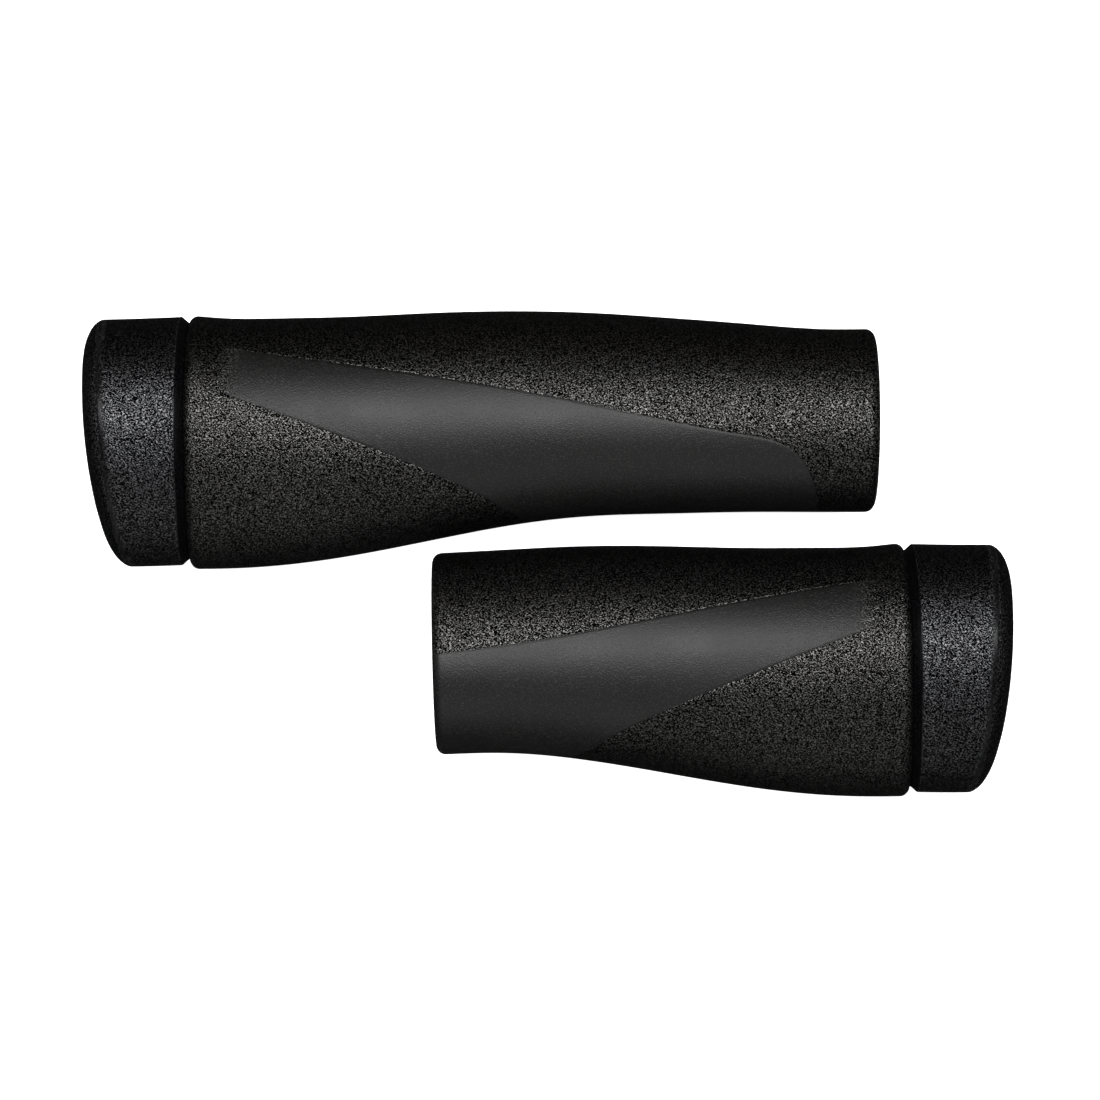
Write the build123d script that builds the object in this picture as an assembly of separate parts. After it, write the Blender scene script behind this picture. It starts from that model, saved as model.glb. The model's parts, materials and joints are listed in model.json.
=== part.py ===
from build123d import *
import math
import os

os.makedirs("parts", exist_ok=True)

# Each grip is built with its bore along X: x = 0 at the outer end, +x towards the middle
# of the handlebar, +Y to the front (fingers), -Y to the rear (palm wing), +Z up.

# Handlebar and overall lengths
bar_radius = 11.1
bar_fit = 0.03
bore_radius = bar_radius + bar_fit
long_length = 130.0
short_length = 95.0

# How the pair lies: bore axes of the two grips, and the small turn of the short one
long_outer_x = -76.3
long_axis_y = 22.0
short_pivot_x = 22.3
short_pivot_y = -16.3
short_pivot_from_end = 54.0
short_yaw = 1.4

# Palm shape: front reach, rear reach at the wing and past it, and half height of the section
palm_front = 16.9
palm_rear = 24.3
palm_slim = 15.3
palm_height = 16.6
bulge_front = 18.0
end_radius = 15.1
end_straight = 9.0
taper_length = 40.0
end_round = 1.6
body_round = 1.5
ellipse_pull = 0.5523

# End cap
cap_end = 17.4
cap_band = 1.3
cap_band_drop = 1.1
cap_front = 17.05
cap_rear = 24.1
cap_height = 16.5
cap_dome_radius = 85.0
cap_dome_front = 4.0
cap_round = 3.5
cap_wall = 2.4
cap_roof = 3.4
seat_gap = 0.05

# Core sleeve that carries the rubber and takes the bar
core_radius = 12.8
plate_thickness = 1.5
plate_inset = 2.2
body_start = cap_end + seat_gap
bar_stop = 16.0
end_wall = 3.0
neck_start = 9.0
neck_radius = 13.0
neck_bore = neck_radius - 2.0
neck_groove = 0.9
relief_radius = 11.5
relief_end = 54.0
core_setback = 1.2
rib_count = 6
rib_width = 2.0
rib_height = 0.8
key_width = 2.0
key_fit = 0.06
socket_fit = 0.15

# Smooth palm panel let into the rubber
panel_depth = 1.2

# Lock screw, M6 x 40 with a socket head
screw_radius = 3.0
screw_hole = 3.2
screw_length = 40.0
head_radius = 5.0
head_height = 6.0
hex_flats = 5.0
hex_depth = 3.0
washer_radius = 6.0
washer_thickness = 1.0
thread_fit = 0.03

# Expander: two three-sided wedges and three jaws
wedge_angle = 25.0
wedge_base = 7.9
wedge_radius = 7.6
wedge_flange = 2.0
wedge_length = 6.0
wedge_foot = 6.8
nut_flange = 2.5
nut_travel = 5.0
jaw_radius = 8.2
jaw_half_angle = 56.0
jaw_inner = 3.9
jaw_length = 22.4
jaw_clearance = 0.3
ramp_fit = 0.03
lug_width = 3.0
lug_depth = 1.5
lug_in = 4.6
lug_out = 7.4
lug_fit = 0.05
band_radius = 0.45
band_offset = 5.5
band_groove = 0.55

# Cap ring: the rubber ring that grips the cap
ring_radius = 0.5
ring_x = 11.6
ring_groove = 0.62

jaw_turns = {"top": 0.0, "front": -120.0, "rear": 120.0}
wedge_slope = math.tan(math.radians(wedge_angle))
jaw_start = bar_stop + wedge_flange + nut_travel / 2 + jaw_clearance
jaw_middle = jaw_start + jaw_length / 2
head_seat = bar_stop - end_wall - washer_thickness


def cross_plane(x):
    # Plane square to the bore at x: local x is the front direction, local y is up
    return Plane(origin=(x, 0, 0), x_dir=(0, 1, 0), z_dir=(1, 0, 0))


def tube(radius, x_from, x_to):
    # Solid cylinder along the bore
    return Pos((x_from + x_to) / 2, 0, 0) * Rot(0, 90, 0) * Cylinder(radius, x_to - x_from)


def block(x_from, x_to, y_from, y_to, z_from, z_to):
    middle = Pos((x_from + x_to) / 2, (y_from + y_to) / 2, (z_from + z_to) / 2)
    return middle * Box(x_to - x_from, y_to - y_from, z_to - z_from)


def egg_face(x, front, rear, height, inset=0.0):
    # Closed section: near-elliptical at the front, thinning towards the palm wing behind
    front = front - inset
    rear = rear - inset
    height = height - inset
    lean = min(max((rear - height) / 8.0, 0.0), 1.0)
    crown = rear * (ellipse_pull - 0.02 * lean)
    edge = height * (ellipse_pull - 0.11 * lean)
    nose = front * ellipse_pull
    side = height * ellipse_pull
    lower_front = Bezier((0, -height), (nose, -height), (front, -side), (front, 0))
    upper_front = Bezier((front, 0), (front, side), (nose, height), (0, height))
    upper_rear = Bezier((0, height), (-crown, height), (-rear, edge), (-rear, 0))
    lower_rear = Bezier((-rear, 0), (-rear, -edge), (-crown, -height), (0, -height))
    outline = Wire([lower_front, upper_front, upper_rear, lower_rear])
    return cross_plane(x) * Face(outline)


def palm_stations(length):
    # Section sizes along the rubber body: the wing dies away towards the slim rear reach, and
    # on the long grip the last four are placed from the inner end
    wing = palm_rear - palm_slim
    stations = [
        (body_start, palm_front + 0.4, palm_rear + 0.2, palm_height),
        (24.0, palm_front - 0.1, palm_rear + 0.1, palm_height),
        (31.0, palm_front - 0.1, palm_rear - 0.3, palm_height),
        (44.0, palm_front + 0.2, palm_rear - 2.0, palm_height),
        (57.0, bulge_front - 0.3, palm_slim + 0.5 * wing, palm_height),
        (72.0, bulge_front, palm_slim + 0.19 * wing, palm_height),
    ]
    if length > short_length:
        taper = length - end_straight
        stations.append((taper - 0.93 * taper_length, bulge_front - 0.3, 15.75, 16.4))
        stations.append((taper - 0.62 * taper_length, 16.9, 15.35, 16.0))
        stations.append((taper - 0.32 * taper_length, 16.0, 15.1, 15.45))
        stations.append((taper, end_radius, end_radius, end_radius))
        stations.append((length, end_radius, end_radius, end_radius))
    else:
        stations.append((84.0, bulge_front - 0.3, 15.75, 16.4))
        stations.append((length, 17.4, 15.8, 16.3))
    return stations


def palm_solid(length, inset=0.0):
    faces = [egg_face(x, f, r, h, inset) for x, f, r, h in palm_stations(length)]
    return loft(faces)


def leaf_prism(length):
    # Plan outline of the smooth panel: a leaf sweeping from front-outer to rear-inner
    outer_top = (23.0, 11.5)
    outer_low = (23.0, 4.3)
    upper = [outer_top, (45.5, 8.4), (80.0, 2.8)]
    lower = [(73.0, -17.0), (61.3, -10.6), (42.8, -3.0), outer_low]
    behind = -palm_rear - 6.0
    if length > short_length:
        tip = (length - end_straight - 0.4, -15.5)
        turn = [(tip[0] - 13.2, -2.7), (tip[0] - 4.9, -5.2), (tip[0] - 1.5, -9.7)]
        top_edge = Spline(upper + turn + [tip])
    else:
        tip = (length + 2.0, 0.9)
        top_edge = Spline(upper + [tip])
    back = Polyline(tip, (tip[0], behind), (90.0, behind))
    low_edge = Spline([(90.0, behind)] + lower)
    plan = make_face(Curve() + [top_edge, back, low_edge, Line(outer_low, outer_top)])
    return Pos(0, 0, -25) * extrude(plan, 50)


def palm_panel(length, body):
    skin = body - palm_solid(length, panel_depth)
    return skin & leaf_prism(length)


def core_ribs(length):
    # Ribs under the rubber that stop it turning on the sleeve
    reach = core_radius + rib_height
    rib = block(26.0, length - 12.0, core_radius - 0.6, reach, -rib_width / 2, rib_width / 2)
    return [Rot(360.0 / rib_count * i, 0, 0) * rib for i in range(rib_count)]


def core_outside(length):
    # Outside of the sleeve, its ribs and the plate let into the rubber's outer end
    solid = tube(core_radius, body_start, length - core_setback)
    for rib in core_ribs(length):
        solid = solid + rib
    plate = egg_face(body_start, palm_front, palm_rear, palm_height, plate_inset)
    return solid + extrude(plate, plate_thickness, dir=(1, 0, 0))


def grip_core(length):
    # Sleeve with the cap's neck, the end wall and the bore for the bar
    core = core_outside(length) + tube(neck_radius, neck_start, body_start + 1.0)
    side = key_width / 2
    key_out = neck_radius + 1.2
    key_in = neck_radius - 0.5
    core = core + block(neck_start + 1.0, body_start + 0.5, -key_out, -key_in, -side, side)
    core = core - tube(neck_bore, neck_start - 1.0, bar_stop - end_wall)
    core = core - tube(relief_radius, bar_stop, relief_end)
    core = core - tube(bore_radius, relief_end - 1.0, length + 1.0)
    core = core - tube(screw_hole, 0, bar_stop + 1.0)
    groove = tube(neck_radius + 1.0, ring_x - ring_groove, ring_x + ring_groove)
    core = core - (groove - tube(neck_radius - neck_groove, 0, 20))
    for lug in wedge_lugs(lug_fit):
        core = core - lug
    return core


def grip_cover(length, body, panel):
    # Rubber body, moulded over the core, with the panel's seat cut in its skin
    cover = body - core_outside(length) - panel
    return cover - tube(bore_radius + 0.25, length - core_setback - 0.5, length + 1.0)


def palm_body(length):
    body = palm_solid(length)
    ends = body.faces().sort_by(Axis.X)
    body = fillet(ends[0].edges(), body_round)
    body = fillet(body.faces().sort_by(Axis.X)[-1].edges(), end_round)
    return body


def end_cap():
    # Hard cap: domed end face with a rounded rim, bevelled where it meets the rubber
    band_start = cap_end - cap_band
    wide = egg_face(band_start, cap_front, cap_rear - 0.25, cap_height)
    outer = egg_face(0.0, cap_front - 0.5, cap_rear - 0.1, cap_height - 0.2)
    middle = egg_face(8.0, cap_front - 0.3, cap_rear, cap_height - 0.1)
    narrow = egg_face(cap_end, cap_front, cap_rear - 0.25, cap_height, cap_band_drop)
    blank = loft([outer, middle, wide])
    cap = blank & Pos(cap_dome_radius, cap_dome_front, 0) * Sphere(cap_dome_radius)
    cap = fillet(cap.faces().filter_by(GeomType.SPHERE).edges(), cap_round)
    return hollow_cap(cap + loft([wide, narrow]))


def hollow_cap(cap):
    # Room for the screw head, the socket over the neck, the pocket in the wing, the key slot
    socket = neck_radius + socket_fit
    cap = cap - tube(neck_bore, cap_roof, neck_start)
    cap = cap - tube(socket, neck_start - 0.4, cap_end + 1.0)
    pocket = egg_face(neck_start - 0.4, cap_front, cap_rear - 0.2, cap_height - 0.1, cap_wall)
    pocket = extrude(pocket, cap_end, dir=(1, 0, 0)) - tube(socket + 1.5, 0, 50)
    cap = cap - pocket
    side = key_width / 2 + key_fit
    return cap - block(neck_start + 0.8, cap_end + 1.0, -socket - 1.8, -socket + 0.5, -side, side)


def cap_ring():
    turn = Pos(ring_x, 0, 0) * Rot(0, 90, 0)
    return turn * Torus(neck_radius - neck_groove + ring_radius, ring_radius)


def lock_screw():
    shank = tube(screw_radius, head_seat - 0.5, head_seat + screw_length)
    shank = chamfer(shank.edges().sort_by(Axis.X)[-1], 0.6)
    head = tube(head_radius, head_seat - head_height, head_seat)
    head = chamfer(head.edges().sort_by(Axis.X)[0], 0.5)
    hexagon = RegularPolygon(hex_flats / 2, 6, major_radius=False)
    socket = extrude(cross_plane(head_seat - head_height) * hexagon, hex_depth, dir=(1, 0, 0))
    return head + shank - socket


def screw_washer():
    start = head_seat
    return tube(washer_radius, start, start + washer_thickness) - tube(screw_hole, 0, 20)


def wedge_lugs(fit):
    # Two lugs of the fixed wedge that sit in the end wall and stop it turning
    half = lug_width / 2 + fit
    lug = block(bar_stop - lug_depth - fit, bar_stop + 0.5, lug_in - fit, lug_out + fit, -half, half)
    return [lug, Rot(180, 0, 0) * lug]


def ramp_cutter(x_foot, gap):
    # Everything outside the three sloping flats of a wedge whose foot is at x_foot
    far = 40.0
    drop = far * wedge_slope
    rise = 4.0 * wedge_slope
    side = Polyline(
        (x_foot - 4.0, wedge_foot + rise + gap),
        (x_foot + far, wedge_foot - drop + gap),
        (x_foot + far, 30.0),
        (x_foot - 4.0, 30.0),
        (x_foot - 4.0, wedge_foot + rise + gap),
    )
    slab = Pos(0, 15, 0) * extrude(Plane.XZ * make_face(side), 30)
    return slab


def three_sided(solid, x_foot):
    cutter = ramp_cutter(x_foot, 0.0)
    for turn in jaw_turns.values():
        solid = solid - Rot(turn, 0, 0) * cutter
    return solid


def fixed_wedge():
    foot = bar_stop + wedge_flange
    wedge = three_sided(tube(wedge_radius, foot, foot + wedge_length), foot)
    wedge = wedge + tube(wedge_base, bar_stop, foot)
    for lug in wedge_lugs(0.0):
        wedge = wedge + lug
    return wedge - tube(screw_hole, 0, 40)


def mirror_ends(solid):
    # The expander is the same from both ends about the middle of the jaws
    return mirror(solid, about=Plane(origin=(jaw_middle, 0, 0), z_dir=(1, 0, 0)))


def wedge_nut():
    foot = bar_stop + wedge_flange
    nut = three_sided(tube(wedge_radius, foot, foot + wedge_length), foot)
    nut = nut + tube(wedge_radius, foot - nut_flange, foot)
    nut = nut - tube(screw_radius + thread_fit, 0, 40)
    return mirror_ends(nut)


def jaw(turn):
    foot = bar_stop + wedge_flange
    half = jaw_length / 2
    body = tube(jaw_radius, jaw_start, jaw_start + jaw_length)
    body = body & block(0, 60, -20, 20, jaw_inner, 20)
    ramp = ramp_cutter(foot, ramp_fit)
    body = body & ramp & mirror_ends(ramp)
    for side in (-1, 1):
        edge = block(0, 60, -20, 20, -20, 0)
        body = body - Rot(side * (90.0 - jaw_half_angle), 0, 0) * edge
    for offset in (-band_offset, band_offset):
        middle = jaw_middle + offset
        groove = tube(jaw_radius + 1, middle - band_groove, middle + band_groove)
        body = body - (groove - tube(jaw_radius - 2 * band_radius - 0.1, 0, 60))
    return Rot(turn, 0, 0) * body


def jaw_band(offset):
    turn = Pos(jaw_middle + offset, 0, 0) * Rot(0, 90, 0)
    return turn * Torus(jaw_radius - band_radius - 0.05, band_radius)


def grip_parts(length):
    body = palm_body(length)
    panel = palm_panel(length, body)
    parts = {
        "grip_cover": grip_cover(length, body, panel),
        "palm_panel": panel,
        "grip_core": grip_core(length),
        "end_cap": end_cap(),
        "cap_ring": cap_ring(),
        "lock_screw": lock_screw(),
        "screw_washer": screw_washer(),
        "fixed_wedge": fixed_wedge(),
        "wedge_nut": wedge_nut(),
        "jaw_band_outer": jaw_band(-band_offset),
        "jaw_band_inner": jaw_band(band_offset),
    }
    for name, turn in jaw_turns.items():
        parts["jaw_" + name] = jaw(turn)
    return parts


def place_pair():
    # Both grips lie side by side, resting on the ground, centred over the origin
    short_place = Pos(short_pivot_x, short_pivot_y, 0) * Rot(0, 0, short_yaw)
    short_place = short_place * Pos(short_pivot_from_end, 0, 0)
    placed = {}
    for name, shape in grip_parts(long_length).items():
        placed["long_" + name] = Pos(long_outer_x, long_axis_y, 0) * shape
    for name, shape in grip_parts(short_length).items():
        placed["short_" + name] = short_place * mirror(shape, about=Plane.YZ)
    box = Compound(list(placed.values())).bounding_box()
    rest = Pos(-box.center().X, -box.center().Y, -box.min.Z)
    return {name: rest * shape for name, shape in placed.items()}


for name, shape in place_pair().items():
    export_step(shape, "parts/" + name + ".step")
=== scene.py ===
import json
import math
import bmesh
import bpy
import numpy as np
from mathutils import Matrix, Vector


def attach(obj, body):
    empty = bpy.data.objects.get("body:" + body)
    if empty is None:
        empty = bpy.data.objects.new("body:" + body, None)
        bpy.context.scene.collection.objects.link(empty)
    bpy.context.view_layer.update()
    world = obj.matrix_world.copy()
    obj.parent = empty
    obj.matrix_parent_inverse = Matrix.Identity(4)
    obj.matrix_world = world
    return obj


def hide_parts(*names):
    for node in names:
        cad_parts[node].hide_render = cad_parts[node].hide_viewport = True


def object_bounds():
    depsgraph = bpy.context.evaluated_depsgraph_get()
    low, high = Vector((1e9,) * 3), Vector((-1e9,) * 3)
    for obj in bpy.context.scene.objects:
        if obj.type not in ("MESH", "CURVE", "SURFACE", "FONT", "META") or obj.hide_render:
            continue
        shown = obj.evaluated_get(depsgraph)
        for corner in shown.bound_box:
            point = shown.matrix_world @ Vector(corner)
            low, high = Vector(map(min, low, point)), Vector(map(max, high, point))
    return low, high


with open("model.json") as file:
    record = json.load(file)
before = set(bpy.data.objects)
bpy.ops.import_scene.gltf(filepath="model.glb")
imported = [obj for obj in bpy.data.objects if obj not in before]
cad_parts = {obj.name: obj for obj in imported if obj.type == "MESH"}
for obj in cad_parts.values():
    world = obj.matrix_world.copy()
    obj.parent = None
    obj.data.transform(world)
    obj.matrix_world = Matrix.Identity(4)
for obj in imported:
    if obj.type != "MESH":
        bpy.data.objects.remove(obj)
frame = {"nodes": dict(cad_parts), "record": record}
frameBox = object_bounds()
record = frame["record"]
mm = 0.001
print("frame loaded:", len(frame["nodes"]), "nodes")

# shape of a section's quarter curves, shared by the rubber, the leaf and the cap
quarter = {
    "handle": 0.5523,       # handle length with which a cubic draws a quarter of a circle
    "leanOver": 8.0,        # rear reach beyond the half height, in mm, at which the wing is fully drawn
    "crownLoss": 0.02,      # how much the wing shortens the handle at the crown
    "edgeLoss": 0.11,       # and at the rear edge
}
rearLine = 1.9999           # a w above this counts as lying on the rear line
farAway = 1e3


def smoothThrough(xs, ys, at):
    # natural cubic spline: second slopes from the usual three-term equations, zero at both ends
    xs, ys = np.asarray(xs, float), np.asarray(ys, float)
    n, h = len(xs), np.diff(xs)
    rows, right = np.eye(n), np.zeros(n)
    i = np.arange(1, n - 1)
    rows[i, i - 1], rows[i, i], rows[i, i + 1] = h[:-1], 2 * (h[:-1] + h[1:]), h[1:]
    right[1:-1] = 6 * (np.diff(ys[1:]) / h[1:] - np.diff(ys[:-1]) / h[:-1])
    bend = np.linalg.solve(rows, right)
    at = np.clip(at, xs[0], xs[-1])
    k = np.clip(np.searchsorted(xs, at) - 1, 0, n - 2)
    a, b = (xs[k + 1] - at) / h[k], (at - xs[k]) / h[k]
    curve = ((a**3 - a) * bend[k] + (b**3 - b) * bend[k + 1]) * h[k]**2 / 6
    return a * ys[k] + b * ys[k + 1] + curve


def sizesAt(sections, x):
    # front reach, rear reach and half height at distance x from the closed end
    table = np.array(sections, float)
    return [smoothThrough(table[:, 0], table[:, c], x) for c in (1, 2, 3)]


def aroundSection(sizes, w):
    # w goes 0 at the front, 1 over the top, 2 at the rear, and below zero underneath;
    # each quarter is one cubic curve, so the point is its Bernstein sum and the normal its turned slope
    front, rear, height = sizes
    w = np.where(w > 2, w - 4, w)
    a = np.abs(w)
    t = np.where(a < 1, a, a - 1)
    s = 1 - t
    b0, b1, b2, b3 = s**3, 3 * s**2 * t, 3 * s * t**2, t**3
    d0, d1, d2 = 3 * s**2, 6 * s * t, 3 * t**2
    handle = quarter["handle"]
    lean = np.clip((rear - height) / quarter["leanOver"], 0, 1)
    crown = rear * (handle - quarter["crownLoss"] * lean)
    edge = height * (handle - quarter["edgeLoss"] * lean)
    nose, side = front * handle, height * handle
    atFront = a < 1
    y = np.where(atFront, front * (b0 + b1) + nose * b2, -(crown * b1 + rear * (b2 + b3)))
    z = np.where(atFront, side * b1 + height * (b2 + b3), height * (b0 + b1) + edge * b2)
    dy = np.where(atFront, (nose - front) * d1 - nose * d2, -(crown * d0 + (rear - crown) * d1))
    dz = np.where(atFront, side * d0 + (height - side) * d1, (edge - height) * d1 - edge * d2)
    size = np.hypot(dy, dz) + 1e-12
    under = np.where(w < 0, -1.0, 1.0)
    return y, z * under, dz / size, -dy / size * under


def aroundAt(sizes, y, halvings=44):
    # the w whose point has that reach y, found by halving the span from front to rear
    low, high = np.zeros_like(y), np.full_like(y, 2.0)
    for _ in range(halvings):
        mid = (low + high) / 2
        ahead = aroundSection(sizes, mid)[0] > y
        low, high = np.where(ahead, mid, low), np.where(ahead, high, mid)
    return (low + high) / 2


def curveThrough(points, count=1500):
    # smooth curve through points, each coordinate a spline of the chord length so far
    points = np.array(points, float)
    chord = np.concatenate([[0], np.cumsum(np.hypot(*np.diff(points, axis=0).T))])
    s = np.linspace(0, chord[-1], count)
    return smoothThrough(chord, points[:, 0], s), smoothThrough(chord, points[:, 1], s)


def easedSteps(n):
    # n + 1 values from 0 to 1, closer together near both ends
    return (1 - np.cos(np.pi * np.arange(n + 1) / n)) / 2


def easeStep(x):
    # 0 to 1 with level ends: three times the square less twice the cube
    x = np.clip(x, 0, 1)
    return x * x * (3 - 2 * x)


def gripPlace(side):
    # where this grip lies: closed end centre, direction inwards along the bar, and front
    joint = next(j for j in record["behaviour"]["joints"] if j["name"] == side + "_screw_turn")
    inward = np.array(joint["axis"], float)
    headSeat = 12.0         # from the closed end to the seat under the screw head, where the joint is
    origin = np.array(joint["pos_m"], float) - inward * headSeat * mm
    front = np.array([-inward[1], inward[0], 0.0])
    flipped = front[1] < 0
    return {"origin": origin, "inward": inward, "front": -front if flipped else front, "flipped": flipped}


def toFrame(place, x, y, z):
    # a grip's own mm to metres of the frame: origin plus each reach times its direction
    x, y, z = (v[..., None] for v in np.broadcast_arrays(x, y, z))
    spread = x * place["inward"] + y * place["front"] + z * np.array([0, 0, 1.0])
    return place["origin"] + spread * mm


def meshFromGrid(name, place, points, keep, tags, wrap=False):
    # one face per grid cell that keep allows; cells of no size vanish when close points merge
    rows, cols = points.shape[:2]
    number = np.arange(rows * cols).reshape(rows, cols)
    if wrap:
        number = np.concatenate([number, number[:, :1]], axis=1)
    quads = np.stack([number[:-1, :-1], number[:-1, 1:], number[1:, 1:], number[1:, :-1]], axis=-1)
    quads = quads[keep[: quads.shape[0], : quads.shape[1]]]
    if place["flipped"]:
        quads = quads[:, ::-1]
    mesh = bpy.data.meshes.new(name)
    mesh.from_pydata(points.reshape(-1, 3), [], quads.tolist())
    for tagName, value in tags.items():
        tag = mesh.attributes.new(tagName, "FLOAT", "POINT")
        tag.data.foreach_set("value", np.broadcast_to(value, points.shape[:2]).astype(np.float32).ravel())
    tidyMesh(mesh)
    piece = bpy.data.objects.new(name, mesh)
    bpy.context.scene.collection.objects.link(piece)
    return piece


def tidyMesh(mesh, near=2e-6, sharpAbove=38):
    # joins points nearer than that many metres and shades edges sharper than that many degrees crisp
    work = bmesh.new()
    work.from_mesh(mesh)
    bmesh.ops.remove_doubles(work, verts=work.verts, dist=near)
    bmesh.ops.dissolve_degenerate(work, edges=work.edges, dist=near)
    loose = [v for v in work.verts if not v.link_faces]
    bmesh.ops.delete(work, geom=loose, context="VERTS")
    work.to_mesh(mesh)
    work.free()
    mesh.polygons.foreach_set("use_smooth", np.ones(len(mesh.polygons), bool))
    mesh.set_sharp_from_angle(angle=math.radians(sharpAbove))
    edgeOf = np.zeros(len(mesh.loops), np.int32)
    mesh.loops.foreach_get("edge_index", edgeOf)
    isFree = np.bincount(edgeOf, minlength=len(mesh.edges)) == 1
    if isFree.any():
        # a free edge becomes the corner of the wall added later, so it is shaded crisp
        sharp = mesh.attributes.get("sharp_edge") or mesh.attributes.new("sharp_edge", "BOOLEAN", "EDGE")
        already = np.zeros(len(mesh.edges), bool)
        sharp.data.foreach_get("value", already)
        sharp.data.foreach_set("value", already | isFree)
    mesh.update()


# a section is drawn from front reach, rear reach and half height, all in mm
rubber = {
    "start": 17.45,         # beside the cap
    "length": {"long": 130.0, "short": 95.0},
    "sections": {
        "long": [(17.45, 17.3, 24.5, 16.6), (24, 16.8, 24.4, 16.6), (31, 16.8, 24.0, 16.6),
                 (44, 17.1, 22.3, 16.6), (57, 17.7, 19.8, 16.6), (72, 18.0, 17.01, 16.6),
                 (83.8, 17.7, 15.75, 16.4), (96.2, 16.9, 15.35, 16.0), (108.2, 16.0, 15.1, 15.45),
                 (121, 15.1, 15.1, 15.1), (130, 15.1, 15.1, 15.1)],
        "short": [(17.45, 17.3, 24.5, 16.6), (24, 16.8, 24.4, 16.6), (31, 16.8, 24.0, 16.6),
                  (44, 17.1, 22.3, 16.6), (57, 17.7, 19.8, 16.6), (72, 18.0, 17.01, 16.6),
                  (84, 17.7, 15.75, 16.4), (95, 17.4, 15.8, 16.3)],
    },
    "outerRound": 1.5,
    "mouthRound": 1.6,
    "lipRadius": 11.38,
    "lipRound": 0.35,
    "lipDepth": 1.4,
    "roundSteps": 9,
    "endInsets": [3.6, 2.6, 1.9],       # lines of the face beside the cap, in from the outline
    "ringLines": [0.4, 0.85],           # lines of the end ring, as shares of the way to the bore
    "plainEnd": 0.5,                    # the grain stops this far before the mouth
    "plainFade": 0.4,
    "skin": 1.2,
    "frontColumns": 96,
    "rearColumns": 40,
}

leaf = {
    "start": 23.0,
    "upper": {
        "long": [(23.0, 11.5), (45.5, 8.4), (80.0, 2.8), (107.4, -2.7), (115.7, -5.2),
                 (119.1, -9.7), (120.6, -15.5)],
        "short": [(23.0, 11.5), (45.5, 8.4), (80.0, 2.8), (97.0, 0.9)],
    },
    "lower": [(23.0, 4.3), (42.8, -3.0), (61.3, -10.6), (73.0, -17.0), (90.0, -30.3)],
    "creaseDepth": 0.06,
    "creaseWidth": 0.16,
    "fadeIn": 2.5,
    "grainFade": 4.5,
    "poreFade": 26.0,
    "poreLoss": 0.45,
    "rows": {"long": 150, "short": 110},
    "columns": 40,
    "thickness": 1.1,
}


def leafRows(side):
    # rows follow the leaf's upper edge, so that edge is one line of the grid
    xs, ys = curveThrough(leaf["upper"][side])
    length = rubber["length"][side]
    last = min(xs[-1], length - rubber["mouthRound"])
    inside = xs <= last + 1e-9
    run = np.concatenate([[0], np.cumsum(np.hypot(np.diff(xs[inside]), np.diff(ys[inside])))])
    at = np.linspace(0, run[-1], leaf["rows"][side])
    return np.interp(at, run, xs[inside])


def edgeAround(side, x):
    # w of the leaf's upper and lower edge at each x
    sizes = sizesAt(rubber["sections"][side], x)
    upX, upY = curveThrough(leaf["upper"][side])
    lowX, lowY = curveThrough(leaf["lower"])
    xIn = np.clip(x, leaf["start"], upX[-1])
    up = aroundAt(sizes, np.maximum(np.interp(xIn, upX, upY), -sizes[1]))
    low = aroundAt(sizes, np.maximum(np.interp(xIn, lowX, lowY), -sizes[1]))
    if side == "long":
        up = np.where(x > upX[-1] - 1e-6, 2.0, up)
    return up, np.maximum(low, up)


def skinRows(side):
    # along the grip: end face, rounded edge, body, rounded mouth, end ring, bore lip
    length = rubber["length"][side]
    turn = np.radians(np.linspace(0, 90, rubber["roundSteps"]))
    start, outer, mouth = rubber["start"], rubber["outerRound"], rubber["mouthRound"]
    body = leafRows(side)
    parts = []

    def add(x, inset, bore=0.0, radius=0.0, panel=0):
        x = np.atleast_1d(np.asarray(x, float))
        one = np.ones_like(x)
        parts.append(np.stack([x, inset * one, bore * one, radius * one, panel * one]))

    add([start] * 3, np.array(rubber["endInsets"]))
    add(start + outer * (1 - np.cos(turn)), outer * (1 - np.sin(turn)))
    add(np.linspace(start + outer, leaf["start"], 9)[1:-1], 0.0)
    add(body, 0.0, panel=1)
    if side == "long":
        add(np.linspace(body[-1], length - mouth, 10)[1:-1], 0.0)
    panelEnds = 0 if side == "long" else 1
    add(length - mouth + mouth * np.sin(turn), mouth * (1 - np.cos(turn)), panel=panelEnds)
    lip, small = rubber["lipRadius"], rubber["lipRound"]
    add([length] * 2, mouth, np.array(rubber["ringLines"]), lip + small)
    add(length - small * (1 - np.cos(turn[::2])), mouth, 1.0, lip + small * (1 - np.sin(turn[::2])))
    add(length - rubber["lipDepth"], mouth, 1.0, lip)
    return np.concatenate(parts, axis=1)


def skinGrid(side, table, aroundW):
    # point = section curve pulled in along its normal, then eased to the bore circle at the mouth
    x, inset, bore, radius = (table[k][:, None] for k in range(4))
    sizes = sizesAt(rubber["sections"][side], x)
    y, z, ny, nz = aroundSection(sizes, aroundW)
    up, low = edgeAround(side, table[0])
    crease = creaseAt(side, table, sizes, y, z, up, low)
    y, z = y - (inset + crease) * ny, z - (inset + crease) * nz
    reach = np.hypot(y, z) + 1e-9
    y, z = y * (1 - bore) + bore * radius * y / reach, z * (1 - bore) + bore * radius * z / reach
    return x, y, z


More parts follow.
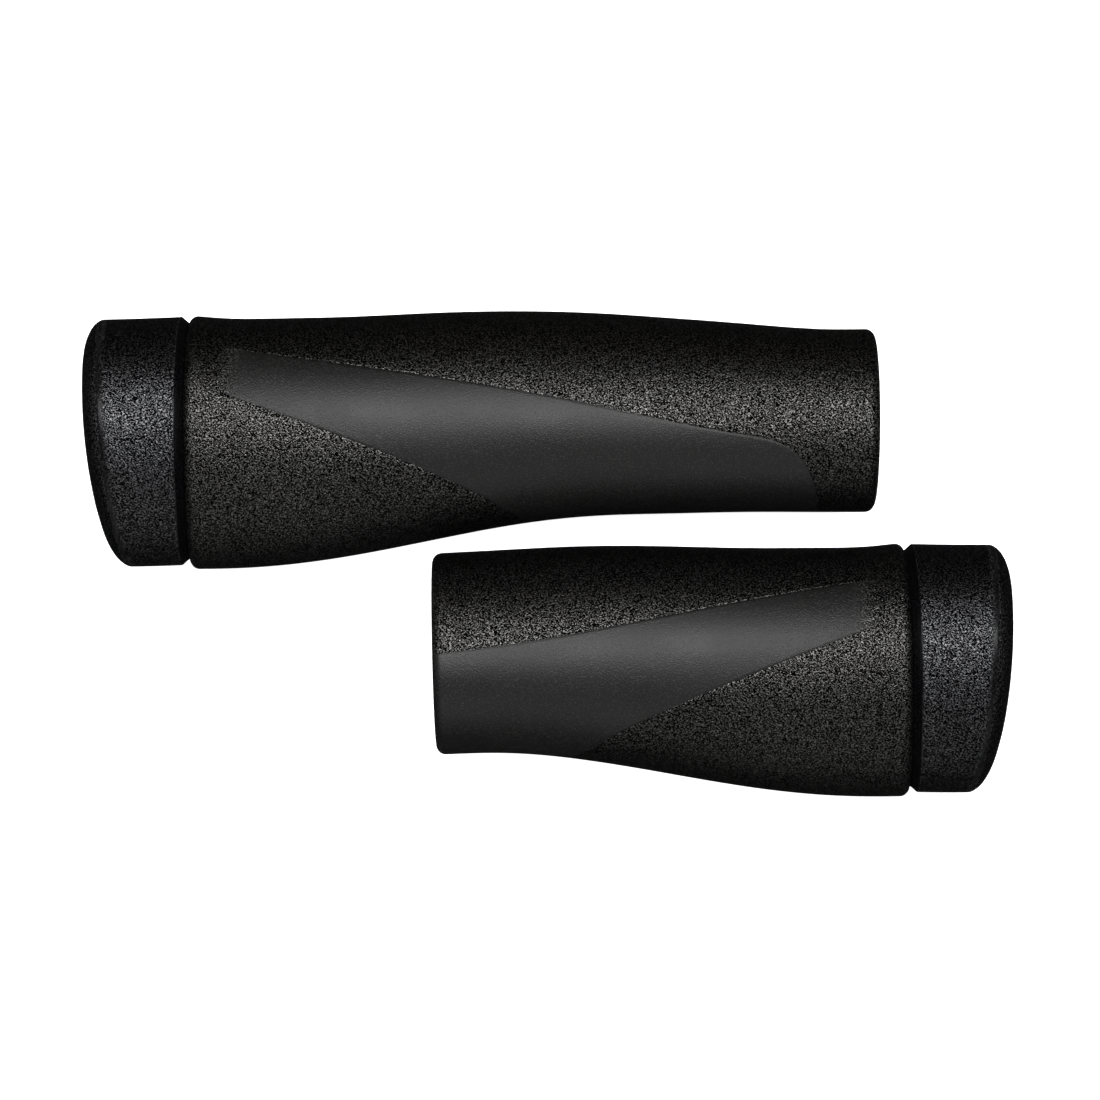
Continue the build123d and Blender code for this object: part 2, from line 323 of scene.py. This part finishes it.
def creaseAt(side, table, sizes, y, z, up, low):
    # a fine valley along the leaf's edge: depth falls off as exp(-(distance / width) squared)
    gap = np.full(y.shape, farAway)
    for w, real in ((up, up < rearLine), (low, low < rearLine)):
        for under in (1, -1):
            ey, ez, _, _ = aroundSection(sizes, (w * under)[:, None])
            gap = np.minimum(gap, np.where(real[:, None], np.hypot(y - ey, z - ez), farAway))
    begins = easeStep((table[0] - leaf["start"]) / leaf["fadeIn"])[:, None]
    there = begins * (table[4] > 0)[:, None]
    return leaf["creaseDepth"] * there * np.exp(-((gap / leaf["creaseWidth"])**2))


def makeRubberBody(side, place):
    # columns go once round: front field, upper leaf, rear field, leaf underneath; leaf cells are left out
    table = skinRows(side)
    up, low = edgeAround(side, table[0])
    nFront, nLeaf, nRear = rubber["frontColumns"], leaf["columns"], rubber["rearColumns"]
    f, l, r = (easedSteps(count)[None, :-1] for count in (nFront, nLeaf, nRear))
    u, d = up[:, None], low[:, None]
    w = np.concatenate([
        -u + 2 * u * f,
        u + (d - u) * l,
        d + (4 - 2 * d) * r,
        4 - d + (d - u) * l,
    ], axis=1)
    x, y, z = skinGrid(side, table, w)
    points = toFrame(place, x, y, z)
    columns = np.arange(w.shape[1])
    inLeaf = ((columns >= nFront) & (columns < nFront + nLeaf)) | (columns >= nFront + nLeaf + nRear)
    both = (table[4][:-1] > 0) & (table[4][1:] > 0)
    keep = ~(both[:, None] & inLeaf[None, :])
    plain = easeStep((table[0] - rubber["length"][side] + rubber["plainEnd"]) / rubber["plainFade"])
    grain = 1 - plain[:, None] * np.ones_like(w)
    tags = {"grainAmount": grain, "poreAmount": 0.3}
    body = meshFromGrid(side + "_rubber_body", place, points, keep, tags, wrap=True)
    thicken(body, rubber["skin"])
    return body


def makeLeafPanel(side, place):
    # the cells that the rubber body leaves out: an upper and a lower half, joined where both reach the rear
    table = skinRows(side)
    table = table[:, table[4] > 0]
    up, low = edgeAround(side, table[0])
    steps = easedSteps(leaf["columns"])[None, :]
    across = up[:, None] + (low - up)[:, None] * steps
    halves = []
    for under in (1, -1):
        x, y, z = skinGrid(side, table, across * under)
        points = toFrame(place, x, y, z)
        halves.append(points if under > 0 else points[:, ::-1])
    points = np.concatenate([halves[0], halves[1]], axis=1)
    closed = low > rearLine
    keep = np.ones((points.shape[0] - 1, points.shape[1] - 1), bool)
    keep[:, steps.shape[1] - 1] = closed[:-1] & closed[1:]
    fade = 1 - easeStep((table[0] - leaf["start"]) / leaf["grainFade"])
    pores = 1 - leaf["poreLoss"] * easeStep((table[0] - leaf["start"]) / leaf["poreFade"])
    tags = {"grainAmount": fade[:, None], "poreAmount": pores[:, None]}
    panel = meshFromGrid(side + "_smooth_panel", place, points, keep, tags)
    thicken(panel, leaf["thickness"])
    return panel


def thicken(piece, depth):
    # wall inwards from the surface, depth in mm
    wall = piece.modifiers.new("wall", "SOLIDIFY")
    wall.thickness = depth * mm
    wall.offset = -1.0
    wall.use_even_offset = True


cap = {
    "sections": [(0.0, 16.55, 24.0, 16.3), (8.0, 16.75, 24.1, 16.4), (16.1, 17.05, 23.85, 16.5)],
    "end": 17.4,
    "bevel": 1.3,
    "bevelDrop": 1.1,
    "domeRadius": 85.0,
    "domeFront": 5.2,
    "rimIn": 4.2,           # how far the rim reaches in over the end face
    "rimAlong": 2.3,        # and along the side
    "rimPull": (0.62, 0.42),
    "rimEdge": 0.28,        # the small polished edge where rim and side meet
    "wall": 2.4,
    "roof": 3.4,
    "pocketFloor": 8.6,
    "socketRadius": 13.15,
    "socketWall": 1.5,
    "headRoom": 11.0,
    "slotHalf": 1.06,
    "columns": 168,
    "faceLines": [0.0, 0.12, 0.3, 0.5, 0.7, 0.86, 0.96],    # shares of the way out over the end face
    "edgeGrain": 0.15,      # grain left on the polished edge
    "sideGap": 0.25,        # the side's last line stops this far before the bevel
    "bevelLines": [0.0, 0.12, 0.3, 0.6, 1.0],
    "bevelFall": [0.03, 0.12, 0.32, 0.66, 1.0],
    "skirt": 0.1,           # depth of the plain edge that faces the rubber
    "leastRing": 0.02,      # the wall's inner line stays this far outside the socket wall
    "pocketFrom": 0.2,      # gap at which the wing pocket starts to fall
    "pocketOver": 0.8,      # and the further gap over which it falls
    "slotEase": 0.3,
    "slotStep": 0.05,
    "roofStep": 0.4,
    "roofIn": 0.5,
}


def domeAt(y, z):
    # how far the end face falls back from the closed end: a large sphere's sagitta
    reach = (y - cap["domeFront"])**2 + z**2
    return cap["domeRadius"] - np.sqrt(cap["domeRadius"]**2 - reach)


def capOutline(x, w, inset=0.0):
    # section point pulled in along its normal
    y, z, ny, nz = aroundSection(sizesAt(cap["sections"], x), w)
    return y - inset * ny, z - inset * nz


def makeCap(side, place):
    # rows go from the middle of the end face out, along the side, and back inside to the roof
    w = np.linspace(-2, 2, cap["columns"] + 1)[None, :-1]
    rows, grain = [], []

    def add(x, y, z, amount):
        rows.append(np.stack(np.broadcast_arrays(x, y, z), axis=-1))
        grain.append(np.full(rows[-1].shape[:2], amount))

    # end face: the rim's inner line drawn in towards the middle
    y0, z0 = capOutline(np.full_like(w, 3.0), w, cap["rimIn"])
    q = np.array(cap["faceLines"])[:, None]
    yq, zq = y0 * q, z0 * q
    add(domeAt(yq, zq), yq, zq, 1.0)
    # rim: a bowed slope from the end face, then a small polished edge onto the side
    t = np.linspace(0, 1, 15)[1:, None]
    pullIn, pullAlong = cap["rimPull"]
    slopeIn = cap["rimIn"] * (1 - t)**2 + 2 * t * (1 - t) * pullIn
    slopeAlong = 2 * t * (1 - t) * pullAlong + cap["rimAlong"] * t**2
    lastIn, lastAlong = slopeIn[-2], slopeAlong[-2]
    e = np.linspace(0, 1, 7)[:, None]
    edgeIn = lastIn * (1 - e)**2
    edgeEnd = cap["rimAlong"] + cap["rimEdge"]
    edgeAlong = lastAlong * (1 - e)**2 + 2 * e * (1 - e) * cap["rimAlong"] + edgeEnd * e**2
    slope = (slopeIn[:-2], slopeAlong[:-2], 1.0)
    for inset, along, amount in (slope, (edgeIn, edgeAlong, cap["edgeGrain"])):
        y1, z1 = capOutline(np.full_like(w, 3.0), w, inset)
        x1 = domeAt(y1, z1) + along
        y1, z1 = capOutline(x1, w, inset)
        add(x1, y1, z1, amount)
    # side, then the plain bevel beside the rubber
    sideEnd = cap["end"] - cap["bevel"]
    s = np.linspace(0, 1, 16)[1:, None]
    x2 = x1[-1] + (sideEnd - cap["sideGap"] - x1[-1]) * s
    y2, z2 = capOutline(x2, w)
    add(x2, y2, z2, 1.0)
    b = np.array(cap["bevelLines"])[:, None]
    drop = np.array(cap["bevelFall"])[:, None] * cap["bevelDrop"]
    y3, z3 = capOutline(np.full_like(w, sideEnd), w, drop)
    add(sideEnd + cap["bevel"] * b + 0 * w, y3, z3, 0.0)
    insideOfCap(w, add)
    x, y, z = (np.concatenate([r[..., k] for r in rows]) for k in range(3))
    points = toFrame(place, x, y, z)
    keep = np.ones((points.shape[0] - 1, points.shape[1]), bool)
    tags = {"grainAmount": np.concatenate(grain), "poreAmount": 0.1}
    return meshFromGrid(side + "_cap_shell", place, points, keep, tags, wrap=True)


def insideOfCap(w, add):
    # skirt edge, wing pocket, socket wall with its key slot, room for the screw head, roof
    end, floor, socket = cap["end"], cap["pocketFloor"], cap["socketRadius"]
    outY, outZ = capOutline(np.full_like(w, floor), w, cap["wall"])
    angle = np.arctan2(outZ, outY)
    ring = socket + cap["socketWall"]
    reach = np.maximum(np.hypot(outY, outZ), ring + cap["leastRing"])
    pocket = easeStep((reach - ring - cap["pocketFrom"]) / cap["pocketOver"])
    deep = end - (end - floor) * pocket
    slot = (np.abs(ring * np.sin(angle)) < cap["slotHalf"] + cap["slotEase"]) & (np.cos(angle) < 0)
    inner = np.where(slot, ring - cap["slotStep"], socket)
    lip, roof, head = end - cap["skirt"], cap["roof"], cap["headRoom"]
    for x, radius in ((end, reach), (lip, reach), (deep, reach), (deep, ring), (lip, ring), (lip, inner),
                      (floor, inner), (floor, head), (roof + cap["roofStep"], head),
                      (roof, head - cap["roofIn"]), (roof, 0.0)):
        add(x + 0 * w, radius * np.cos(angle), radius * np.sin(angle), 0.0)


def newMaterial(name):
    # a material with nothing but a Principled shader and its output
    material = bpy.data.materials.new(name)
    material.use_nodes = True
    tree = material.node_tree
    tree.nodes.clear()
    out = tree.nodes.new("ShaderNodeOutputMaterial")
    shader = tree.nodes.new("ShaderNodeBsdfPrincipled")
    tree.links.new(shader.outputs[0], out.inputs[0])
    return material, tree, shader


def node(tree, kind, values=None, **settings):
    # settings go on the node, values on its sockets
    made = tree.nodes.new("ShaderNode" + kind)
    for key, value in settings.items():
        setattr(made, key, value)
    for key, value in (values or {}).items():
        made.inputs[key].default_value = value
    return made


def objectPoints(tree, turn=(0, 0, 0), stretch=(1, 1, 1)):
    # place on the piece in metres, stretched and then turned
    where = node(tree, "TexCoord")
    turned = node(tree, "Mapping", {"Rotation": turn, "Scale": stretch})
    tree.links.new(where.outputs["Object"], turned.inputs["Vector"])
    return turned.outputs[0]


def ramp(tree, source, stops):
    # colour read off straight lines between the stops
    made = node(tree, "ValToRGB")
    elements = made.color_ramp.elements
    while len(elements) < len(stops):
        elements.new(0.5)
    for element, (at, color) in zip(elements, stops):
        element.position = at
        element.color = (*color, 1) if len(color) == 3 else color
    tree.links.new(source, made.inputs[0])
    return made.outputs[0]


def between(tree, source, low, high, fromLow=0.0, fromHigh=1.0):
    # straight line that takes fromLow to low and fromHigh to high, held at both ends
    made = node(tree, "MapRange", {"From Min": fromLow, "From Max": fromHigh})
    made.inputs["To Min"].default_value = low
    made.inputs["To Max"].default_value = high
    tree.links.new(source, made.inputs["Value"])
    return made.outputs[0]


def maths(tree, kind, a, b=None):
    # one sum of two values, each a number or another node's output
    made = node(tree, "Math", operation=kind)
    for k, value in enumerate((a, b)):
        if value is None:
            continue
        if isinstance(value, (int, float)):
            made.inputs[k].default_value = value
        else:
            tree.links.new(value, made.inputs[k])
    return made.outputs[0]


grainShape = {
    "waverScale": 0.45,     # of the grain's own scale
    "shift": 0.9,           # of the grain's size
    "detail": 1.0,
    "roughness": 0.4,
    "low": 0.42,            # noise below this is hollow
    "high": 0.80,           # and above this a full ridge
    "poreStretch": 1.3,
    "slowScale": 85.0,      # uneven gloss and wear over centimetres
    "slowDetail": 3.0,
    "slowFrom": 0.3,
    "slowTo": 0.7,
    "wear": (0.96, 1.05),
    "ridgeStops": (0.1, 1.0),
    "poreStops": (0.3, 0.95),
    "poreShades": (0.35, 2.6),          # times the plain colour: painted shade in the pore hollows and painted highlight on the pore tops
    "glossChange": (0.03, -0.04),
}


def leatherGrain(tree, size, turn, stretch):
    # height = fine noise read at points that a slower noise has shifted by up to 0.9 of the size
    points = objectPoints(tree, (0, 0, turn), (1.0, stretch, 1.0))
    detail = grainShape["detail"]
    waver = node(tree, "TexNoise", {"Scale": grainShape["waverScale"] / size, "Detail": detail})
    tree.links.new(points, waver.inputs["Vector"])
    shift = node(tree, "VectorMath", operation="SCALE")
    shift.inputs["Scale"].default_value = grainShape["shift"] * size
    tree.links.new(waver.outputs["Color"], shift.inputs[0])
    bent = node(tree, "VectorMath", operation="ADD")
    tree.links.new(points, bent.inputs[0])
    tree.links.new(shift.outputs[0], bent.inputs[1])
    relief = node(tree, "TexNoise", {"Scale": 1.0 / size, "Detail": detail})
    relief.inputs["Roughness"].default_value = grainShape["roughness"]
    tree.links.new(bent.outputs[0], relief.inputs["Vector"])
    return between(tree, relief.outputs["Fac"], 0.0, 1.0, grainShape["low"], grainShape["high"])


moulded = {
    "grip": {
        # painted shade: the near-black hollow colour, with the shine below, leaves the grain's hollows
        # almost without reflection, as if self-shadowed
        "hollow": (0.0003, 0.0003, 0.0002),
        "ridge": (0.145, 0.143, 0.139),
        "plain": (0.0066, 0.0064, 0.0062),
        "size": 0.00025,        # metres, as are the depths
        "turn": 0.9,
        "stretch": 1.15,
        "depth": 0.00004,
        "poreSize": 0.00027,
        "poreDepth": 0.000036,
        "roughHollow": 0.5,
        "roughRidge": 0.34,
        "roughPlain": 0.47,
        "shine": 0.97,
        "specular": 0.10,
    },
}
moulded["cap"] = dict(
    moulded["grip"],
    # painted shade: near-black hollows, as on the grip
    hollow=(0.0002, 0.0002, 0.0003),
    ridge=(0.141, 0.142, 0.148),
    plain=(0.0026, 0.0027, 0.0032),
    size=0.00026,
    stretch=1.2,
    poreDepth=0.000012,
    roughPlain=0.26,
)
moulded["leaf"] = dict(moulded["grip"], specular=0.31)      # the same rubber, its plain skin glossier


def mouldedMaterial(name, values):
    # grain: colour runs from hollow to ridge with height and reflects like a dull mirror; the near-black
    # hollows are painted shade standing in for the grain's self-shadowing;
    # skin: dark plain colour with pores, painted shade in their hollows and painted highlight on their
    # tops; grainAmount goes from the skin at 0 to the grain at 1
    material, tree, shader = newMaterial(name)
    slowFrom, slowTo = grainShape["slowFrom"], grainShape["slowTo"]
    height = leatherGrain(tree, values["size"], values["turn"], values["stretch"])
    pores = leatherGrain(tree, values["poreSize"], values["turn"], grainShape["poreStretch"])
    amount = node(tree, "Attribute", attribute_name="grainAmount").outputs["Fac"]
    poreAmount = node(tree, "Attribute", attribute_name="poreAmount").outputs["Fac"]
    slow = node(tree, "TexNoise", {"Scale": grainShape["slowScale"], "Detail": grainShape["slowDetail"]})
    tree.links.new(objectPoints(tree), slow.inputs["Vector"])
    wear = between(tree, slow.outputs["Fac"], *grainShape["wear"], slowFrom, slowTo)

    ridgeColors = zip(grainShape["ridgeStops"], (values["hollow"], values["ridge"]))
    # painted shade: the ramp darkens the grain's hollows to near-black by relief height
    grained = ramp(tree, maths(tree, "MULTIPLY", height, wear), list(ridgeColors))
    shades = [tuple(c * k for c in values["plain"]) for k in grainShape["poreShades"]]
    poreHeight = maths(tree, "MULTIPLY", pores, wear)
    # painted shade and painted highlight: pore hollows darker, pore tops lighter, by pore height
    plain = ramp(tree, poreHeight, list(zip(grainShape["poreStops"], shades)))
    tree.links.new(blend(tree, amount, plain, grained, "RGBA"), shader.inputs["Base Color"])
    tree.links.new(maths(tree, "MULTIPLY", amount, values["shine"]), shader.inputs["Metallic"])

    roughGrain = between(tree, height, values["roughHollow"], values["roughRidge"])
    rough = [values["roughPlain"] + change for change in grainShape["glossChange"]]
    roughPlain = between(tree, slow.outputs["Fac"], *rough, slowFrom, slowTo)
    tree.links.new(blend(tree, amount, roughPlain, roughGrain, "FLOAT"), shader.inputs["Roughness"])
    shader.inputs["Specular IOR Level"].default_value = values["specular"]

    fine = node(tree, "Bump", {"Strength": 1.0, "Distance": values["poreDepth"]})
    tree.links.new(maths(tree, "MULTIPLY", poreHeight, poreAmount), fine.inputs["Height"])
    bump = node(tree, "Bump", {"Strength": 1.0, "Distance": values["depth"]})
    tree.links.new(maths(tree, "MULTIPLY", height, amount), bump.inputs["Height"])
    tree.links.new(fine.outputs[0], bump.inputs["Normal"])
    tree.links.new(bump.outputs[0], shader.inputs["Normal"])
    return material


def blend(tree, amount, a, b, kind):
    # a where amount is 0, b where it is 1
    made = node(tree, "Mix", data_type=kind)
    slots = [k for k in made.inputs if k.enabled]
    for socket, value in zip(slots, (amount, a, b)):
        tree.links.new(value, socket)
    return next(k for k in made.outputs if k.enabled)


hidden = {
    "poreDetail": 2.0,
    "glossScale": 70.0,
    "glossDetail": 4.0,
    "satinShades": (0.8, 1.2),          # times the colour
    "satinGloss": (-0.05, 0.06),        # added to the roughness
    "satinBump": 0.8,
    "markScale": 900.0,
    "markDetail": 3.0,
    "markDepth": 0.00002,
    "metalShades": (0.82, 1.0),
    "metalGloss": (-0.07, 0.09),
    "metalBump": 0.4,
    "from": 0.3,
    "to": 0.7,
}


def shadeAndGloss(tree, shader, source, color, rough, shades, gloss):
    # colour and roughness both follow one noise, between two shares of the colour and two roughnesses
    ends = (hidden["from"], hidden["to"])
    stops = [(at, tuple(c * k for c in color)) for at, k in zip(ends, shades)]
    tree.links.new(ramp(tree, source, stops), shader.inputs["Base Color"])
    roughness = between(tree, source, rough + gloss[0], rough + gloss[1], *ends)
    tree.links.new(roughness, shader.inputs["Roughness"])


def addBump(tree, shader, height, strength, depth):
    # relief of that height over depth metres
    bump = node(tree, "Bump", {"Strength": strength, "Distance": depth})
    tree.links.new(height, bump.inputs["Height"])
    tree.links.new(bump.outputs[0], shader.inputs["Normal"])


def satinMaterial(name, color, rough, fine=0.00012, depth=0.000012):
    # smooth moulded skin: barely seen pores and a slow change of gloss
    material, tree, shader = newMaterial(name)
    pores = node(tree, "TexNoise", {"Scale": 1 / fine, "Detail": hidden["poreDetail"]})
    tree.links.new(objectPoints(tree), pores.inputs["Vector"])
    slow = node(tree, "TexNoise", {"Scale": hidden["glossScale"], "Detail": hidden["glossDetail"]})
    tree.links.new(objectPoints(tree), slow.inputs["Vector"])
    shades, gloss = hidden["satinShades"], hidden["satinGloss"]
    shadeAndGloss(tree, shader, slow.outputs["Fac"], color, rough, shades, gloss)
    addBump(tree, shader, pores.outputs["Fac"], hidden["satinBump"], depth)
    return material


def metalMaterial(name, color, rough, stretch):
    # turned or milled metal: fine marks in one direction
    material, tree, shader = newMaterial(name)
    marks = node(tree, "TexNoise", {"Scale": hidden["markScale"], "Detail": hidden["markDetail"]})
    tree.links.new(objectPoints(tree, stretch=stretch), marks.inputs["Vector"])
    shades, gloss = hidden["metalShades"], hidden["metalGloss"]
    shadeAndGloss(tree, shader, marks.outputs["Fac"], color, rough, shades, gloss)
    shader.inputs["Metallic"].default_value = 1.0
    addBump(tree, shader, marks.outputs["Fac"], hidden["metalBump"], hidden["markDepth"])
    return material


finishes = {
    "grip_rubber": mouldedMaterial("grained rubber", moulded["grip"]),
    "cap_plastic": mouldedMaterial("grained cap plastic", moulded["cap"]),
    "smooth_rubber": mouldedMaterial("smooth rubber", moulded["leaf"]),
    "core_plastic": satinMaterial("core plastic", (0.02, 0.02, 0.022), 0.42, fine=0.0002),
    "ring_rubber": satinMaterial("ring rubber", (0.016, 0.016, 0.016), 0.4),
    "screw_steel": metalMaterial("screw steel", (0.56, 0.56, 0.55), 0.32, (0.2, 1, 1)),
    "wedge_aluminium": metalMaterial("wedge aluminium", (0.78, 0.79, 0.80), 0.3, (1, 1, 0.3)),
    "jaw_aluminium": metalMaterial("jaw aluminium", (0.70, 0.71, 0.72), 0.38, (0.3, 1, 1)),
}
print("materials ready")

for side in ("long", "short"):
    place = gripPlace(side)
    for make, part, slotName, body in (
        (makeRubberBody, "grip_cover", "grip_rubber", "grips"),
        (makeLeafPanel, "palm_panel", "smooth_rubber", "grips"),
        (makeCap, "end_cap", "cap_plastic", side + "_end_cap_body"),
    ):
        piece = make(side, place)
        piece.data.materials.append(finishes[slotName])
        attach(piece, body)
        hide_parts(side + "_" + part)
        print(piece.name, len(piece.data.polygons), "faces")

slotOf = {s["node"]: s["material_slot"] for s in record["subparts"]}
for name, piece in frame["nodes"].items():
    if not piece.hide_render:
        piece.data.materials.clear()
        piece.data.materials.append(finishes[slotOf[name]])
print("grips built")

floorLook = {
    "shades": ((0.93, 0.93, 0.93), (0.95, 0.95, 0.95)),
    "stops": (0.3, 0.7),
    "tintScale": 6.0,
    "tintDetail": 2.0,
    "rough": 0.9,
    "glow": 1.0,            # makes the ground pure white and free of shadow
    "half": 2.5,
    "height": -0.00004,
}


def makeFloor():
    # one flat square that gives its own light and isn't mirrored in the grips
    material, tree, shader = newMaterial("pale floor")
    tint = node(tree, "TexNoise", {"Scale": floorLook["tintScale"], "Detail": floorLook["tintDetail"]})
    tree.links.new(objectPoints(tree), tint.inputs["Vector"])
    color = ramp(tree, tint.outputs["Fac"], list(zip(floorLook["stops"], floorLook["shades"])))
    tree.links.new(color, shader.inputs["Base Color"])
    shader.inputs["Roughness"].default_value = floorLook["rough"]
    tree.links.new(color, shader.inputs["Emission Color"])
    shader.inputs["Emission Strength"].default_value = floorLook["glow"]
    mesh = bpy.data.meshes.new("floor")
    half, height = floorLook["half"], floorLook["height"]
    corners = [(x * half, y * half, height) for x, y in ((-1, -1), (1, -1), (1, 1), (-1, 1))]
    mesh.from_pydata(corners, [], [(0, 1, 2, 3)])
    mesh.materials.append(material)
    floor = bpy.data.objects.new("floor", mesh)
    bpy.context.scene.collection.objects.link(floor)
    floor.visible_glossy = False


lights = {
    # place, then width and height in metres, watts, colour; every light is turned to the middle
    "top box": ((0.0, 0.17, 0.98), (1.3, 0.34), 18.0, (1, 1, 1)),
    "rear wall": ((0.0, -1.1, 0.62), (1.8, 0.9), 5.5, (1, 1, 1)),
    "left end fill": ((-1.3, 0.1, 0.4), (0.9, 0.6), 1.3, (1, 1, 1)),
    "right end fill": ((1.3, 0.1, 0.4), (0.9, 0.6), 1.3, (1, 1, 1)),
    "front strip": ((0.0, 1.2, 0.14), (1.6, 0.16), 0.15, (1.0, 0.82, 0.66)),
}


def areaLight(name, at, size, power, color):
    # a rectangle whose face is turned to the origin
    data = bpy.data.lights.new(name, "AREA")
    data.shape = "RECTANGLE"
    data.size, data.size_y = size
    data.energy = power
    data.color = color
    light = bpy.data.objects.new(name, data)
    light.location = at
    light.rotation_euler = (-Vector(at)).to_track_quat("-Z", "Y").to_euler()
    bpy.context.scene.collection.objects.link(light)


look = {
    "viewDistance": 0.70,   # camera above the middle height of the grips
    "viewWidth": 0.1812,    # floor seen across, at that height
    "viewCentre": (0.00037, 0.00063),
    "sensor": 36.0,
    "nearest": 0.01,
    "worldGlow": 0.015,
}


def makeCamera():
    # looks straight down; lens = sensor times distance over width seen
    data = bpy.data.cameras.new("camera")
    data.sensor_width = look["sensor"]
    data.lens = look["sensor"] * look["viewDistance"] / look["viewWidth"]
    data.clip_start = look["nearest"]
    camera = bpy.data.objects.new("camera", data)
    middle = 0.5 * (frameBox[1][2] - frameBox[0][2])
    camera.location = (*look["viewCentre"], middle + look["viewDistance"])
    bpy.context.scene.collection.objects.link(camera)
    bpy.context.scene.camera = camera


makeFloor()
for lightName, (at, size, power, color) in lights.items():
    areaLight(lightName, at, size, power, color)
makeCamera()

world = bpy.data.worlds.new("studio")
bpy.context.scene.world = world
world.use_nodes = True
world.node_tree.nodes["Background"].inputs[0].default_value = (1, 1, 1, 1)
world.node_tree.nodes["Background"].inputs[1].default_value = look["worldGlow"]
bpy.context.scene.view_settings.view_transform = "Standard"
print("floor, lights and camera ready")
